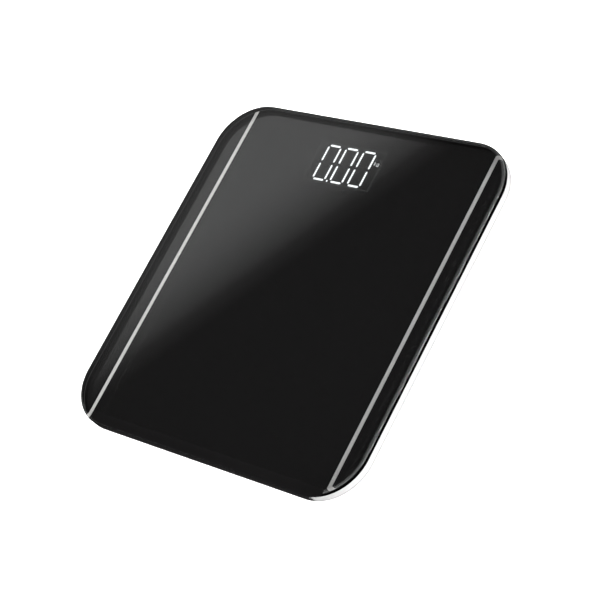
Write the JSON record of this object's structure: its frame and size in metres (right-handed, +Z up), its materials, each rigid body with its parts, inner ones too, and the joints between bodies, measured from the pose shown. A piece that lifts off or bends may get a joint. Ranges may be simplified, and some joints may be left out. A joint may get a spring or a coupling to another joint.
{
  "type": "digital bathroom scale",
  "caption": "Bathroom scale: thick glass platform with round corners and two silver stripes, lit display, shallow tray, load-cell feet, battery door and unit button.",
  "frame": {"origin": "on the floor, under the middle of the platform", "axes": "+Z up, +Y towards the display end (the longer side), +X to the right of a person who reads the display"},
  "size_m": [0.26, 0.27, 0.028],
  "materials": {
    "clear_glass": "clear tempered glass, polished",
    "black_sheet": "glossy black",
    "silver_foil": "satin silver",
    "smoked_lens": "smoked clear film",
    "lit_segment": "lit white",
    "lcd_black": "black liquid-crystal cell",
    "guide_acrylic": "frosted acrylic",
    "led_yellow": "phosphor coated",
    "zebra_rubber": "striped elastomer",
    "ivory_plastic": "moulded",
    "board_green": "solder mask",
    "chip_black": "moulded",
    "screw_steel": "zinc plated",
    "button_grey": "fine texture",
    "tape_foam": "foam tape",
    "tray_black": "fine spark texture",
    "label_paper": "blank label",
    "gauge_silicone": "silicone blob",
    "contact_nickel": "nickel plated",
    "lead_black": "insulation",
    "lead_red": "insulation",
    "carrier_grey": "glass-filled nylon",
    "cell_steel": "stamped steel, nickel plated",
    "pad_rubber": "soft rubber",
    "battery_jacket": "plain sleeve"
  },
  "bodies": {
    "platform": {"glass_platform": "clear_glass", "print_sheet": "black_sheet", "stripe_left": "silver_foil", "stripe_right": "silver_foil", "display_lens": "smoked_lens", "lit_segments": "lit_segment", "lcd_cell": "lcd_black", "light_guide": "guide_acrylic", "backlight_leds": "led_yellow", "zebra_strips": "zebra_rubber", "lcd_frame": "ivory_plastic", "main_board": "board_green", "board_parts": "chip_black", "lead_sockets": "ivory_plastic", "board_screws": "screw_steel", "tact_switch": "chip_black", "bond_tape": "tape_foam", "base_tray": "tray_black", "rating_label": "label_paper", "cell_carrier_front_left": "carrier_grey", "cell_carrier_front_right": "carrier_grey", "cell_carrier_rear_left": "carrier_grey", "cell_carrier_rear_right": "carrier_grey", "load_cell_front_left": "cell_steel", "load_cell_front_right": "cell_steel", "load_cell_rear_left": "cell_steel", "load_cell_rear_right": "cell_steel", "strain_gauges": "gauge_silicone", "cell_screws": "screw_steel", "cell_lead_front_left": "lead_red", "cell_lead_front_right": "lead_red", "cell_lead_rear_left": "lead_red", "cell_lead_rear_right": "lead_red", "battery_left": "battery_jacket", "battery_middle": "battery_jacket", "battery_right": "battery_jacket", "battery_springs": "contact_nickel", "contact_plates": "contact_nickel", "battery_lead": "lead_black"},
    "foot_unit_front_left": {"foot_front_left": "tray_black", "foot_pad_front_left": "pad_rubber"},
    "foot_unit_front_right": {"foot_front_right": "tray_black", "foot_pad_front_right": "pad_rubber"},
    "foot_unit_rear_left": {"foot_rear_left": "tray_black", "foot_pad_rear_left": "pad_rubber"},
    "foot_unit_rear_right": {"foot_rear_right": "tray_black", "foot_pad_rear_right": "pad_rubber"},
    "unit_key": {"unit_button": "button_grey", "switch_plunger": "ivory_plastic"},
    "battery_cover": {"battery_door": "tray_black"}
  },
  "joints": [
    {"name": "foot_play_front_left", "type": "slide", "parent": "platform", "child": "foot_unit_front_left", "axis": [0, 0, 1], "range_m": [-0.0005, 0]},
    {"name": "foot_play_front_right", "type": "slide", "parent": "platform", "child": "foot_unit_front_right", "axis": [0, 0, 1], "range_m": [-0.0005, 0]},
    {"name": "foot_play_rear_left", "type": "slide", "parent": "platform", "child": "foot_unit_rear_left", "axis": [0, 0, 1], "range_m": [-0.0005, 0]},
    {"name": "foot_play_rear_right", "type": "slide", "parent": "platform", "child": "foot_unit_rear_right", "axis": [0, 0, 1], "range_m": [-0.0005, 0]},
    {"name": "unit_key_press", "type": "slide", "parent": "platform", "child": "unit_key", "axis": [0, 0, 1], "range_m": [0, 0.0005], "stiffness_N_per_m": 120, "springref_m": -0.0015},
    {"name": "battery_cover_slide", "type": "slide", "parent": "platform", "child": "battery_cover", "axis": [0, -1, 0], "range_m": [0, 0.04]}
  ]
}
